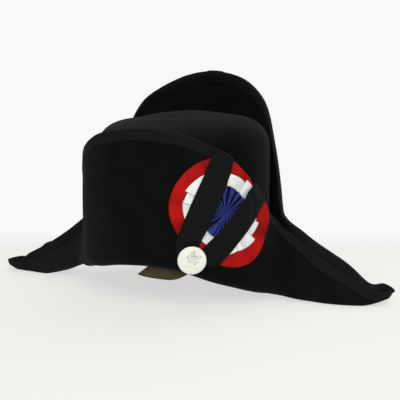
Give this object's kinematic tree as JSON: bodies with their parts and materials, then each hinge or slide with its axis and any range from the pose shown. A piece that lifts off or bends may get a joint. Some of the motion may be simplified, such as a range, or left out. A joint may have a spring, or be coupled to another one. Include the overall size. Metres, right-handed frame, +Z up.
{
  "type": "bicorne hat",
  "caption": "Black felt bicorne hat with bound brim turned up front and back, gathered tricolour rosette, ribbon loop and button.",
  "frame": {"origin": "on the surface the hat rests on, under the middle of the whole hat", "axes": "+X from horn to horn towards the cockade's side, -Y to the lower front flap, +Z up through the crown"},
  "size_m": [0.4647, 0.2298, 0.2382],
  "materials": {
    "felt": "matte black wool felt with a short nap",
    "binding": "black ribbed ribbon with a faint sheen",
    "red_cloth": "matte red woven ribbon, gathered",
    "white_cloth": "matte white woven ribbon, gathered",
    "blue_cloth": "satin blue ribbon in narrow pleats",
    "ribbon": "black ribbed ribbon",
    "button": "cream satin plastic with low relief",
    "sweatband": "olive brown woven band"
  },
  "bodies": {
    "root": {"felt_body": "felt", "edge_binding": "binding", "cockade_red": "red_cloth", "cockade_white": "white_cloth", "cockade_blue": "blue_cloth", "cockade_loop": "ribbon", "button": "button", "sweatband": "sweatband"}
  },
  "joints": []
}
